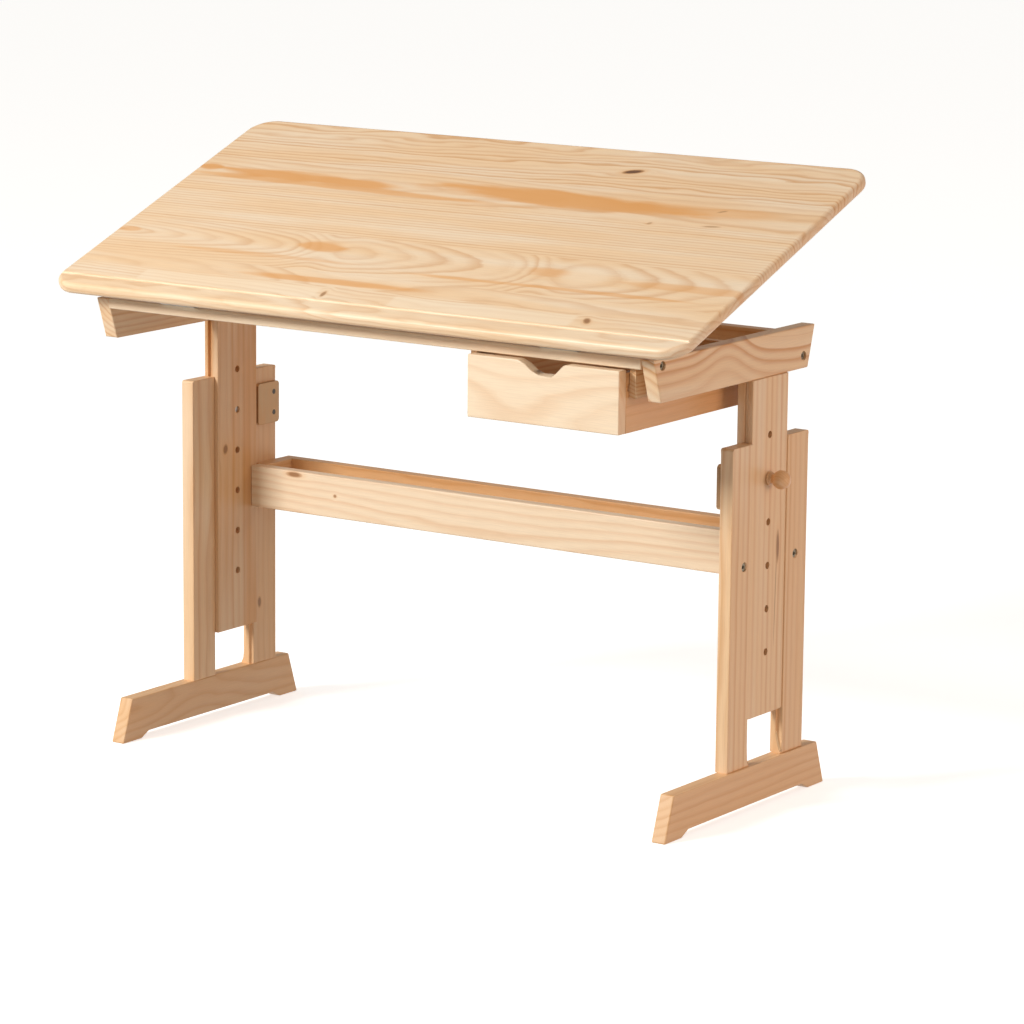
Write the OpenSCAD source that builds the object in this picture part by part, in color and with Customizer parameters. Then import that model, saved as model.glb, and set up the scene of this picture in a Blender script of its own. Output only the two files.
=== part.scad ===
// Drafting table in solid pine: a tilting top on a frame whose two posts slide in grooved
// legs and are pinned at one of six heights, with one drawer under the right half.

/* [Top] */
// Width of the top
top_w = 1090; // [900:10:1300]
// Depth of the top along its own slope
top_d = 550; // [450:10:700]
// Thickness of the top
top_t = 18; // [15:1:25]
// Slope of the top
tilt = 21.1; // [10:0.1:30]
// Corner radius of the top seen from above
corner_r = 28; // [15:1:60]
// Rounding of the edges of the top
edge_r = 7; // [2:0.5:8]
// Distance of the pencil groove from the front edge
groove_from_edge = 31; // [20:1:60]
// Radius of the cutter of the pencil groove
groove_r = 3.5; // [2:0.5:6]
// Depth of the pencil groove
groove_deep = 2.7; // [1:0.1:4]
// How far the front edge stands in front of the hinge line
front_over = 16.9; // [10:0.1:40]

/* [Hinge line] */
// Depth position of the hinge line, from the front of the feet
hinge_y = -50; // [-60:1:-30]
// Height of the hinge line
hinge_z = 686; // [670:1:700]
// Radius of a hinge barrel
barrel_r = 3; // [2.5:0.1:4]
// Radius of a hinge pin
hinge_pin_r = 1.5; // [1:0.1:2]
// Width of one hinge
hinge_w = 60; // [40:1:80]
// Distance of each hinge from the middle
hinge_x = 330; // [200:5:420]
// Thickness of a hinge leaf
leaf_t = 1.6; // [1.2:0.1:2.5]
// Length of a hinge leaf
leaf_l = 34; // [25:1:45]

/* [Feet] */
// Length of a foot
foot_l = 431; // [350:1:500]
// Height of a foot
foot_h = 65; // [50:1:80]
// Thickness of a foot
foot_t = 22.7; // [18:0.1:30]
// Outer face of the feet, from the middle
foot_out = 490.5; // [450:0.5:520]
// Setback of the top edge at each end of a foot
foot_slant = 22; // [10:1:40]
// Length of each pad under a foot
pad_l = 44; // [30:1:60]
// Height of the arch under a foot
arch_h = 9; // [4:1:15]
// Length of the ramp of the arch
arch_ramp = 18; // [8:1:30]

/* [Legs] */
// Inner face of the uprights, from the middle
upright_in = 466; // [440:0.5:500]
// Thickness of an upright
upright_t = 20.4; // [18:0.1:25]
// Top of the uprights
upright_top = 528; // [480:1:560]
// Rounding of the top of the uprights
upright_r = 4; // [2:0.5:8]
// Depth position of the middle of the posts
post_y = 269; // [250:1:290]
// Tongue tip of an upright, from the middle of the post
tongue_v = 43; // [35:0.5:60]
// Shoulder of an upright, from the middle of the post
shoulder_v = 48; // [40:0.5:65]
// Front edge of the front upright, from the middle of the post
front_v = 101; // [80:1:120]
// Rear edge of the rear upright, from the middle of the post
rear_v = 104; // [80:1:120]
// Inner face of the tongue, from the middle of the table
tongue_x0 = 471.8; // [468:0.1:476]
// Outer face of the tongue, from the middle of the table
tongue_x1 = 478.2; // [474:0.1:482]
// Radius of the cutter that leaves the run-out of the outer rebate
runout_r = 64; // [40:1:90]
// Height at which the outer rebate starts to run out
runout_z = 98; // [85:1:120]

/* [Posts] */
// Inner face of a post, from the middle
post_in = 459.5; // [450:0.1:470]
// Outer face of a post, from the middle
post_out = 484.7; // [475:0.1:495]
// Bottom of a post
post_bottom = 132; // [110:1:160]
// Running gap between a post and the uprights
slide_gap = 0.3; // [0.2:0.05:0.5]
// Diameter of the height holes
hole_d = 10.6; // [8:0.1:14]
// Height of the lowest height hole
hole_z0 = 222.5; // [200:0.5:260]
// Spacing of the height holes
hole_pitch = 62.5; // [40:0.5:80]
// Number of height holes
hole_count = 6; // [3:1:8]

/* [Knobs] */
// Hole that holds the knob, counted from the lowest as zero
knob_hole = 4; // [0:1:5]
// Radius of the turned ball
ball_r = 13.5; // [8:0.25:16]
// Distance of the ball's centre from the post
ball_out = 20; // [14:0.5:30]
// Radius of the foot of the knob
knob_foot_r = 10; // [6:0.5:12]
// Radius of the neck of the knob
knob_neck_r = 7; // [4:0.5:8]
// Diameter of the knob's pin
pin_d = 10; // [8:0.1:12]
// Length of the knob's pin inside the post
pin_in = 22; // [12:1:24]

/* [Plates, blocks and stretcher] */
// Thickness of the plywood plates
plate_t = 6; // [4:0.5:9]
// Length of a plate
plate_l = 52; // [40:1:60]
// Bottom of the plates
plate_z0 = 440; // [430:1:460]
// Height of the plates
plate_h = 64; // [35:1:70]
// Corner radius of the plates
plate_r = 6; // [3:1:12]
// Bottom of the stretcher boards
board_z0 = 317; // [290:1:340]
// Height of the stretcher boards
board_h = 64; // [50:1:80]
// Thickness of the stretcher boards
board_t = 20; // [16:1:25]
// Depth position of the face of the front stretcher board
board_front_y = 302; // [280:1:320]
// Depth position of the face of the rear stretcher board
board_rear_y = 386; // [380:1:410]
// Inner end of the end blocks, from the middle
block_in = 444; // [430:1:450]

/* [Rails] */
// Inner face of the side rails, from the middle
rail_in = 461; // [450:0.5:470]
// Thickness of the side rails
rail_t = 22; // [18:0.5:28]
// Bottom of the side rails
rail_z0 = 617.2; // [600:0.1:640]
// Top of the side rails
rail_z1 = 677.8; // [660:0.1:700]
// Front end of a side rail at its top
rail_front_top = -35; // [-45:1:-20]
// Front end of a side rail at its bottom
rail_front_low = -15; // [-30:1:0]
// Rear end of a side rail at its bottom
rail_rear_low = 372; // [350:1:390]
// Rear end of a side rail at its top
rail_rear_top = 389.5; // [370:0.5:410]
// Bottom of the front rail
front_rail_z0 = 663; // [650:1:670]
// Depth of the front rail
front_rail_d = 50; // [40:1:70]
// Face of the front rail
front_rail_y = -34; // [-40:1:-20]
// Face of the rear rail
rear_rail_y = 350; // [330:1:360]
// Thickness of the rear rail
rear_rail_t = 21; // [16:1:25]
// Bottom of the rear rail
rear_rail_z0 = 619; // [600:1:640]
// Top of the rear rail
rear_rail_z1 = 668; // [650:1:678]

/* [Drawer and runners] */
// Left side of the drawer
drawer_x0 = 185; // [100:1:220]
// Right side of the drawer
drawer_x1 = 434; // [380:1:440]
// Face of the drawer
drawer_y = -45; // [-55:1:-36]
// Depth of the drawer, front to back
drawer_d = 350; // [300:5:380]
// Bottom of the drawer
drawer_z0 = 572; // [550:1:600]
// Top of the drawer front
drawer_z1 = 660; // [640:1:662]
// Thickness of the drawer front
drawer_front_t = 18; // [14:1:22]
// Thickness of the drawer sides
drawer_side_t = 12; // [9:1:15]
// Top of the drawer sides
drawer_side_z1 = 655; // [630:1:658]
// Thickness of the drawer bottom
drawer_bottom_t = 4; // [3:0.5:6]
// Left end of the finger notch at the top
notch_x0 = 268; // [250:1:280]
// Right end of the finger notch at the top
notch_x1 = 347; // [330:1:370]
// Depth of the finger notch
notch_h = 18; // [12:1:25]
// Thickness of the runners
runner_t = 11.2; // [9:0.1:14]
// Height of the tongue of a runner
runner_tongue_h = 8; // [6:0.5:12]
// Reach of the tongue of a runner
runner_tongue = 5.2; // [4:0.1:6]

/* [Battens and stays] */
// Inner side of the battens under the top
batten_in = 453; // [440:1:460]
// Width of the battens
batten_w = 32; // [24:1:40]
// Front end of the battens, from the hinge line
batten_u0 = 40; // [30:1:80]
// Rear end of the battens, from the hinge line
batten_u1 = 505; // [420:1:520]
// Mean radius of the quadrant stays
stay_r = 165; // [140:1:300]
// Width of the quadrant stays
stay_w = 16; // [12:1:20]
// Thickness of the quadrant stays
stay_t = 3; // [2:0.5:4]
// Sweep of the quadrant stays below the top
stay_sweep = 31; // [26:0.5:36]

/* [Hidden] */

$fn = 48;
tiny = 0.1;
fit = 0.05;
under_w = barrel_r + 0.3;
top_face_w = under_w + top_t;
front_face_y = hinge_y - front_over * cos(tilt) - top_face_w * sin(tilt);
y_min = front_face_y + edge_r * (cos(tilt) + sin(tilt) - 1);
rear_u = top_d - front_over;
y_max = hinge_y + (rear_u - edge_r) * cos(tilt) - (under_w + edge_r) * sin(tilt) + edge_r;
y_off = -(y_min + y_max) / 2;
knob_z = hole_z0 + knob_hole * hole_pitch;
upright_out = upright_in + upright_t;
rail_out = rail_in + rail_t;
post_half = shoulder_v - slide_gap;
groove_half = tongue_v - slide_gap;
batten_low_w = rail_z1 + slide_gap - hinge_z;
bolt_r = 3;
head_r = 6.2;
head_h = 4;
cbore_r = 7;
leg_cbore = 6;
rail_cbore = 7;
front_bolt_v = 66;
front_bolt_z = 356;
rear_bolt_v = 73;
rear_bolt_z = 353;
rail_bolt_front = [-13, 668];
rail_bolt_rear = [360, 635];
nut_x = 440;
nut_r = 5;
dowel_r = 4;
foot_dowel_x = 477;
foot_dowel_v = [60, 85];
block_dowel_x = 451;
block_dowel_z = [332, 366];
dowel_in = 14;
post_dowel_v = [-25, 25];
post_dowel_x = 472;
plate_screw_z = [456, 488];
plate_inset = 13;
plate_right_v = shoulder_v + 0.6;
plate_left_v = 53;
lowest = -hole_pitch;
leaf_screw_x = [-20, 0, 20];
leaf_screw_u = 22;
guide_y0 = 96;
guide_y1 = 130;
guide_z0 = 644;
guide_z1 = 674;
guide_in = 446.8;
stay_x0 = batten_in - stay_t;
guide_screw_y = [100, 126];
guide_screw_z = 659;
tab_u = [121, 209];
stay_screw_u = [131, 199];
stay_screw_w = -2.3;
batten_screw_u = [70, 272, 475];
runner_y0 = -20;
runner_z0 = 620;
runner_tongue_z = 630;
drawer_rear = drawer_y + drawer_d;
bottom_z = 580;
panel_in = 6;

// Shifts a piece from the front of the feet to the middle of the table.
module place() translate([0, y_off, 0]) children();

// The top's own frame: hinge line at the origin, slope along Y.
module on_top() translate([0, y_off + hinge_y, hinge_z]) rotate([tilt, 0, 0]) children();

module box(x0, x1, y0, y1, z0, z1)
    translate([x0, y0, z0]) cube([x1 - x0, y1 - y0, z1 - z0]);

// A flat outline in depth and height, thickened from x0 to x1.
module slab(x0, x1)
    translate([x0, 0, 0]) rotate([90, 0, 90]) linear_extrude(x1 - x0) children();

module rod_x(x0, x1, y, z, r)
    translate([x0, y, z]) rotate([0, 90, 0]) cylinder(r = r, h = x1 - x0);

module rod_y(y0, y1, x, z, r)
    translate([x, y0, z]) rotate([-90, 0, 0]) cylinder(r = r, h = y1 - y0);

module rod_z(z0, z1, x, y, r) translate([x, y, z0]) cylinder(r = r, h = z1 - z0);

module left() mirror([1, 0, 0]) children();

// Rectangle with round corners.
module round_rect(x0, y0, w, h, r) {
    translate([x0 + r, y0]) square([w - 2 * r, h]);
    translate([x0, y0 + r]) square([w, h - 2 * r]);
    for (x = [x0 + r, x0 + w - r])
        for (y = [y0 + r, y0 + h - r])
            translate([x, y]) circle(r = r);
}

// Countersunk screw pointing up from z = 0, head at the bottom.
module csk(len, r, grow) {
    cylinder(r = r + grow, h = len + grow);
    cylinder(r1 = 2 * r + grow, r2 = r + grow, h = r);
}

// ---- Lower frame ----

module foot_shape() {
    difference() {
        slab(foot_out - foot_t, foot_out) polygon([
            [0, 0], [pad_l, 0], [pad_l + arch_ramp, arch_h],
            [foot_l - pad_l - arch_ramp, arch_h], [foot_l - pad_l, 0], [foot_l, 0],
            [foot_l - foot_slant, foot_h], [foot_slant, foot_h]]);
        for (v = foot_dowel_v)
            for (s = [-1, 1])
                rod_z(foot_h - 20, foot_h + 1, foot_dowel_x, post_y + s * v, dowel_r + fit);
    }
}

// Upright with its tongue toward the post; v runs away from the post.
module upright_shape(outer_v, bolt_v, bolt_z, bolt_len) {
    difference() {
        slab(upright_in, upright_out) {
            translate([tongue_v, foot_h])
                square([outer_v - tongue_v, upright_top - upright_r - foot_h]);
            translate([tongue_v + upright_r, foot_h])
                square([outer_v - tongue_v - 2 * upright_r, upright_top - foot_h]);
            for (v = [tongue_v + upright_r, outer_v - upright_r])
                translate([v, upright_top - upright_r]) circle(r = upright_r);
        }
        // outer rebate with its run-out near the foot
        box(tongue_x1, upright_out + 1, tongue_v - 1, shoulder_v, runout_z, upright_top + 1);
        rod_y(tongue_v - 1, shoulder_v, tongue_x1 + runout_r, runout_z, runout_r);
        // inner rebate, full length
        box(upright_in - 1, tongue_x0, tongue_v - 1, shoulder_v, foot_h - 1, upright_top + 1);
        rod_x(upright_out - leg_cbore, upright_out + 1, bolt_v, bolt_z, cbore_r);
        rod_x(upright_out - bolt_len - 1, upright_out, bolt_v, bolt_z, bolt_r + fit);
        for (v = foot_dowel_v)
            rod_z(foot_h - 1, foot_h + 20, foot_dowel_x, v, dowel_r + fit);
    }
}

// Holes for the two screws of a plate, in the inner face of an upright.
module plate_screw_bores(y)
    for (z = plate_screw_z)
        translate([upright_in - plate_t, y, z]) rotate([0, 90, 0]) csk(18, 2, fit);

module upright_front()
    translate([0, post_y, 0]) mirror([0, 1, 0])
        upright_shape(front_v, front_bolt_v, front_bolt_z, 16);

module upright_rear()
    translate([0, post_y, 0]) upright_shape(rear_v, rear_bolt_v, rear_bolt_z, 40);

plate_right_y = post_y - plate_right_v - plate_l;
plate_left_y = post_y + plate_left_v;
screw_right_y = plate_right_y + plate_inset;
screw_left_y = plate_left_y + plate_l - plate_inset;

module plate_shape(y0, screw_y)
    difference() {
        slab(upright_in - plate_t, upright_in)
            round_rect(y0, plate_z0, plate_l, plate_h, plate_r);
        plate_screw_bores(screw_y);
    }

module bolt(x_head, x_end, y, z)
    difference() {
        union() {
            rod_x(x_end, x_head, y, z, bolt_r);
            rod_x(x_head, x_head + head_h, y, z, head_r);
        }
        translate([x_head + head_h - 2.5, y, z]) rotate([0, 90, 0])
            cylinder(r = 2.9, h = 3, $fn = 6);
    }

module leg_bolt_pair() {
    bolt(upright_out - leg_cbore, block_in + 6, post_y + rear_bolt_v, rear_bolt_z);
    bolt(upright_out - leg_cbore, upright_out - 16, post_y - front_bolt_v, front_bolt_z);
}

module foot_dowel_set()
    for (v = foot_dowel_v)
        for (s = [-1, 1])
            rod_z(foot_h - 19, foot_h + 19, foot_dowel_x, post_y + s * v, dowel_r);

block_y0 = board_front_y + board_t;

// Bores of the dowels that tie an end block to the two boards.
module stretcher_bores(grow)
    for (z = block_dowel_z) {
        rod_y(block_y0 - dowel_in - grow, block_y0 + dowel_in + grow, block_dowel_x, z,
            dowel_r + grow);
        rod_y(board_rear_y - dowel_in - grow, board_rear_y + dowel_in + grow, block_dowel_x, z,
            dowel_r + grow);
    }

module end_block_shape()
    difference() {
        box(block_in, upright_in, block_y0, board_rear_y, board_z0, board_z0 + board_h);
        rod_x(block_in + 5, upright_in + 1, post_y + rear_bolt_v, rear_bolt_z, bolt_r + fit);
        stretcher_bores(fit);
    }

module board_shape(half, y)
    difference() {
        box(-half, half, y, y + board_t, board_z0, board_z0 + board_h);
        stretcher_bores(fit);
        left() stretcher_bores(fit);
    }

// ---- Upper frame ----

module post_shape()
    translate([0, post_y, 0]) difference() {
        box(post_in, post_out, -post_half, post_half, post_bottom, rail_z0);
        for (k = [0 : hole_count - 1])
            rod_x(post_in - 1, post_out + 1, 0, hole_z0 + k * hole_pitch, hole_d / 2);
        for (m = [0, 1]) mirror([0, m, 0]) {
            box(tongue_x0 - slide_gap, tongue_x1 + slide_gap, groove_half, post_half + 1,
                post_bottom - 1, rail_z0 + 1);
            // scoop that clears the run-out of the upright at the lowest setting
            difference() {
                box(tongue_x1, post_out + 1, groove_half, post_half + 1,
                    post_bottom - 1, runout_z - lowest);
                rod_y(groove_half - 1, post_half + 2, tongue_x1 + runout_r,
                    runout_z - lowest, runout_r - slide_gap);
            }
        }
        for (v = post_dowel_v)
            rod_z(rail_z0 - 28, rail_z0 + 1, post_dowel_x, v, dowel_r + fit);
    }

module side_rail_shape()
    difference() {
        slab(rail_in, rail_out) polygon([
            [rail_front_low, rail_z0], [rail_rear_low, rail_z0],
            [rail_rear_top, rail_z1], [rail_front_top, rail_z1]]);
        for (b = [rail_bolt_front, rail_bolt_rear]) {
            rod_x(rail_out - rail_cbore, rail_out + 1, b[0], b[1], cbore_r);
            rod_x(rail_in - 1, rail_out, b[0], b[1], bolt_r + fit);
        }
        for (v = post_dowel_v)
            rod_z(rail_z0 - 1, rail_z0 + 28, post_dowel_x, post_y + v, dowel_r + fit);
        guide_screw_set(fit);
    }

module rail_bolt_pair()
    for (b = [rail_bolt_front, rail_bolt_rear])
        bolt(rail_out - rail_cbore, nut_x - 10, b[0], b[1]);

module rail_bolt_bores(b) rod_x(nut_x - 11, rail_in + 1, b[0], b[1], bolt_r + fit);

module front_nut(grow)
    rod_z(front_rail_z0 + 0.3 - 2 * grow, front_rail_z0 + 11 + grow, nut_x,
        rail_bolt_front[0], nut_r + grow);

module rear_nut(grow)
    rod_y(rail_bolt_rear[0] - 6 - grow, rail_bolt_rear[0] + 6 + grow, nut_x,
        rail_bolt_rear[1], nut_r + grow);

module front_rail_shape()
    difference() {
        box(-rail_in, rail_in, front_rail_y, front_rail_y + front_rail_d,
            front_rail_z0, rail_z1);
        for (m = [0, 1]) mirror([m, 0, 0]) {
            rail_bolt_bores(rail_bolt_front);
            front_nut(fit);
            rod_z(front_rail_z0 - 1, front_rail_z0 + 2, nut_x, rail_bolt_front[0], nut_r + fit);
        }
        place_hinges() rail_leaf_screws(fit);
    }

module rear_rail_shape()
    difference() {
        box(-rail_in, rail_in, rear_rail_y, rear_rail_y + rear_rail_t,
            rear_rail_z0, rear_rail_z1);
        for (m = [0, 1]) mirror([m, 0, 0]) {
            rail_bolt_bores(rail_bolt_rear);
            rear_nut(fit);
            rod_y(rail_bolt_rear[0], rear_rail_y + rear_rail_t + 1, nut_x,
                rail_bolt_rear[1], nut_r + fit);
        }
    }

module nut_pair() {
    difference() {
        front_nut(0);
        rod_x(nut_x - 8, nut_x + 8, rail_bolt_front[0], rail_bolt_front[1], bolt_r + fit);
    }
    difference() {
        rear_nut(0);
        rod_x(nut_x - 8, nut_x + 8, rail_bolt_rear[0], rail_bolt_rear[1], bolt_r + fit);
    }
}

// Runner whose tongue points toward +X from the face at x1.
module runner_shape(x1) {
    box(x1 - runner_t, x1, runner_y0, rear_rail_y, runner_z0, front_rail_z0);
    box(x1 - tiny, x1 + runner_tongue, runner_y0, drawer_rear - 5,
        runner_tongue_z, runner_tongue_z + runner_tongue_h);
}

module place_hinges() for (x = [-hinge_x, hinge_x]) translate([x, 0, 0]) children();

// Screws of the rail leaf, head up, in the frame of the feet.
module rail_leaf_screws(grow)
    for (x = leaf_screw_x)
        translate([x, front_rail_y + leaf_l - 12, rail_z1 + leaf_t]) mirror([0, 0, 1])
            csk(13, 1.6, grow);

third = hinge_w / 3;

module rail_leaf()
    difference() {
        union() {
            slab(-hinge_w / 2, hinge_w / 2) {
                translate([front_rail_y, rail_z1]) square([leaf_l - 4, leaf_t]);
                polygon([[front_rail_y + tiny, rail_z1], [front_rail_y + tiny, rail_z1 + leaf_t],
                    [hinge_y + barrel_r * 0.8, hinge_z + barrel_r * 0.1],
                    [hinge_y + barrel_r * 0.5, hinge_z - barrel_r * 0.8]]);
            }
            rod_x(-hinge_w / 2, hinge_w / 2, hinge_y, hinge_z, barrel_r);
        }
        rod_x(-hinge_w, hinge_w, hinge_y, hinge_z, hinge_pin_r + fit);
        box(-third / 2 - slide_gap, third / 2 + slide_gap, hinge_y - 6, hinge_y + 7,
            hinge_z - 6, hinge_z + 6);
        rail_leaf_screws(fit);
    }

// Screws of the top leaf, head down, in the frame of the top.
module top_leaf_screws(grow)
    for (x = leaf_screw_x)
        translate([x, leaf_screw_u, under_w - leaf_t]) csk(13, 1.6, grow);

module top_leaf()
    difference() {
        union() {
            box(-hinge_w / 2, hinge_w / 2, barrel_r + 1, leaf_l, under_w - leaf_t, under_w);
            box(-third / 2, third / 2, 0, barrel_r + 2, under_w - leaf_t, under_w);
            rod_x(-third / 2, third / 2, 0, 0, barrel_r);
        }
        rod_x(-hinge_w, hinge_w, 0, 0, hinge_pin_r + fit);
        top_leaf_screws(fit);
    }

module guide_screw_set(grow)
    for (y = guide_screw_y)
        translate([guide_in, y, guide_screw_z]) rotate([0, 90, 0]) csk(28, 1.75, grow);

// Ring about the hinge line between two radii.
module ring(x0, x1, r0, r1)
    translate([x0, 0, 0]) rotate([0, 90, 0]) difference() {
        cylinder(r = r1, h = x1 - x0, $fn = 96);
        translate([0, 0, -1]) cylinder(r = r0, h = x1 - x0 + 2, $fn = 96);
    }

module stay_guide_shape()
    difference() {
        box(guide_in, rail_in, guide_y0, guide_y1, guide_z0, guide_z1);
        translate([0, hinge_y, hinge_z])
            ring(stay_x0 - slide_gap, stay_x0 + stay_t + slide_gap,
                stay_r - stay_w / 2 - 0.4, stay_r + stay_w / 2 + 0.4);
        guide_screw_set(fit);
    }

// ---- Top ----

module round_board(w, d, t, rc, re) {
    // strip between the left and right corners
    translate([rc - w / 2, re, 0]) cube([w - 2 * rc, d - 2 * re, t]);
    translate([rc - w / 2, 0, re]) cube([w - 2 * rc, d, t - 2 * re]);
    // strip between the front and rear corners
    translate([re - w / 2, rc, 0]) cube([w - 2 * re, d - 2 * rc, t]);
    translate([-w / 2, rc, re]) cube([w, d - 2 * rc, t - 2 * re]);
    for (z = [re, t - re]) {
        for (y = [re, d - re]) rod_x(rc - w / 2, w / 2 - rc, y, z, re);
        for (x = [re - w / 2, w / 2 - re]) rod_y(rc, d - rc, x, z, re);
    }
    for (x = [rc - w / 2, w / 2 - rc])
        for (y = [rc, d - rc])
            translate([x, y, 0]) {
                cylinder(r = rc - re, h = t);
                translate([0, 0, re]) cylinder(r = rc, h = t - 2 * re);
                for (z = [re, t - re])
                    translate([0, 0, z]) rotate_extrude() translate([rc - re, 0])
                        circle(r = re);
            }
}

module tabletop_shape()
    difference() {
        translate([0, -front_over, under_w])
            round_board(top_w, top_d, top_t, corner_r, edge_r);
        rod_x(-top_w, top_w, groove_from_edge - front_over,
            top_face_w + groove_r - groove_deep, groove_r);
        place_hinges() top_leaf_screws(fit);
        batten_screw_set(fit);
        left() batten_screw_set(fit);
    }

module batten_screw_set(grow)
    for (u = batten_screw_u)
        translate([batten_in + batten_w / 2, u, batten_low_w]) csk(22, 2, grow);

module stay_screw_set(grow)
    for (u = stay_screw_u)
        translate([stay_x0, u, stay_screw_w]) rotate([0, 90, 0]) csk(16, 1.5, grow);

module batten_shape()
    difference() {
        box(batten_in, batten_in + batten_w, batten_u0, batten_u1, batten_low_w, under_w);
        batten_screw_set(fit);
        stay_screw_set(fit);
    }

// Steel quadrant: an arc about the hinge line with a fixing tab along the batten.
module stay_shape()
    difference() {
        union() {
            box(stay_x0, stay_x0 + stay_t, tab_u[0], tab_u[1], batten_low_w, under_w - 0.2);
            intersection() {
                ring(stay_x0, stay_x0 + stay_t, stay_r - stay_w / 2, stay_r + stay_w / 2);
                slab(stay_x0, stay_x0 + stay_t) polygon([
                    [0, 0], [2 * stay_r, 0],
                    [2 * stay_r * cos(stay_sweep), -2 * stay_r * sin(stay_sweep)]]);
            }
        }
        for (a = [1 : 4])
            rotate([-9 - a * tilt / 4, 0, 0])
                rod_x(stay_x0 - 1, stay_x0 + stay_t + 1, stay_r + stay_w / 2, 0, 2.5);
        stay_screw_set(fit);
    }

// ---- Drawer ----

module drawer_front_shape()
    difference() {
        box(drawer_x0, drawer_x1, drawer_y, drawer_y + drawer_front_t, drawer_z0, drawer_z1);
        // finger notch: sloping flanks, flat floor
        translate([0, drawer_y + drawer_front_t + 1, 0]) rotate([90, 0, 0])
            linear_extrude(drawer_front_t + 2) polygon([
                [notch_x0, drawer_z1 + 1], [notch_x0, drawer_z1],
                [notch_x0 + 12, drawer_z1 - 5], [notch_x0 + 24, drawer_z1 - notch_h + 4],
                [notch_x0 + 34, drawer_z1 - notch_h], [notch_x1 - 24, drawer_z1 - notch_h],
                [notch_x1 - 16, drawer_z1 - notch_h + 4], [notch_x1 - 8, drawer_z1 - 5],
                [notch_x1, drawer_z1], [notch_x1, drawer_z1 + 1]]);
        drawer_panel(fit);
    }

module drawer_panel(grow)
    box(drawer_x0 + drawer_side_t - panel_in - grow, drawer_x1 - drawer_side_t + panel_in + grow,
        drawer_y + drawer_front_t - panel_in - grow, drawer_rear + grow,
        bottom_z - grow, bottom_z + drawer_bottom_t + grow);

// Side with its outer face at x = 0 and its inner face at x = drawer_side_t.
module drawer_side_shape()
    difference() {
        box(0, drawer_side_t, drawer_y + drawer_front_t, drawer_rear,
            drawer_z0, drawer_side_z1);
        box(-1, runner_tongue - 0.3, drawer_y + drawer_front_t + 3, drawer_rear + 1,
            runner_tongue_z - 0.4, runner_tongue_z + runner_tongue_h + 0.4);
        box(drawer_side_t - panel_in - fit, drawer_side_t + 1, drawer_y, drawer_rear + 1,
            bottom_z - fit, bottom_z + drawer_bottom_t + fit);
    }

module drawer_back_shape()
    box(drawer_x0 + drawer_side_t, drawer_x1 - drawer_side_t, drawer_rear - drawer_side_t,
        drawer_rear, bottom_z + drawer_bottom_t + fit, drawer_side_z1);

// ---- Knobs ----

module knob_shape()
    translate([post_out + slide_gap, post_y, knob_z]) rotate([0, 90, 0]) {
        cylinder(r = knob_foot_r, h = 3);
        cylinder(r1 = knob_foot_r - 0.5, r2 = knob_neck_r - 0.5, h = 6);
        cylinder(r = knob_neck_r - 0.5, h = ball_out - slide_gap);
        translate([0, 0, ball_out - slide_gap]) rotate_extrude() intersection() {
            circle(r = ball_r);
            translate([0, -ball_r]) square([ball_r, 2 * ball_r]);
        }
    }

module knob_pin_shape()
    rod_x(post_out - pin_in, post_out + slide_gap, post_y, knob_z, pin_d / 2);

// ---- Nodes ----

module foot_left() color("burlywood") place() left() foot_shape();
module foot_right() color("burlywood") place() foot_shape();
module upright_front_left() color("wheat") place() left() upright_front();
module upright_front_right() color("wheat") place() difference() {
    upright_front();
    plate_screw_bores(screw_right_y);
}
module upright_rear_left() color("wheat") place() left() difference() {
    upright_rear();
    plate_screw_bores(screw_left_y);
}
module upright_rear_right() color("wheat") place() upright_rear();
module plate_left() color("tan") place() left() plate_shape(plate_left_y, screw_left_y);
module plate_right() color("tan") place() plate_shape(plate_right_y, screw_right_y);
module plate_screws() color("dimgray") place() {
    for (z = plate_screw_z) {
        translate([upright_in - plate_t, screw_right_y, z]) rotate([0, 90, 0]) csk(18, 2, 0);
        left() translate([upright_in - plate_t, screw_left_y, z]) rotate([0, 90, 0])
            csk(18, 2, 0);
    }
}
module end_block_left() color("burlywood") place() left() end_block_shape();
module end_block_right() color("burlywood") place() end_block_shape();
module stretcher_front() color("burlywood") place()
    board_shape(post_in - slide_gap, board_front_y);
module stretcher_rear() color("burlywood") place() board_shape(upright_in, board_rear_y);
module leg_bolts() color("silver") place() {
    leg_bolt_pair();
    left() leg_bolt_pair();
}
module foot_dowels() color("wheat") place() {
    foot_dowel_set();
    left() foot_dowel_set();
}
module stretcher_dowels() color("wheat") place() {
    stretcher_bores(0);
    left() stretcher_bores(0);
}
module post_left() color("wheat") place() left() post_shape();
module post_right() color("wheat") place() post_shape();
module side_rail_left() color("burlywood") place() left() side_rail_shape();
module side_rail_right() color("burlywood") place() side_rail_shape();
module front_rail() color("burlywood") place() front_rail_shape();
module rear_rail() color("burlywood") place() rear_rail_shape();
module runner_left() color("tan") place() runner_shape(drawer_x0 - 0.5);
module runner_right() color("tan") place()
    translate([drawer_x0 + drawer_x1, 0, 0]) left() runner_shape(drawer_x0 - 0.5);
module rail_bolts() color("silver") place() {
    rail_bolt_pair();
    left() rail_bolt_pair();
}
module barrel_nuts() color("silver") place() {
    nut_pair();
    left() nut_pair();
}
module post_dowel_set()
    for (v = post_dowel_v)
        rod_z(rail_z0 - 27, rail_z0 + 27, post_dowel_x, post_y + v, dowel_r);
module post_dowels() color("wheat") place() {
    post_dowel_set();
    left() post_dowel_set();
}
module hinge_rail_leaves() color("silver") place() place_hinges() rail_leaf();
module hinge_pins() color("gainsboro") place() place_hinges()
    rod_x(-hinge_w / 2, hinge_w / 2, hinge_y, hinge_z, hinge_pin_r);
module hinge_rail_screws() color("dimgray") place() place_hinges() rail_leaf_screws(0);
module stay_guide_left() color("tan") place() left() stay_guide_shape();
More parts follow.
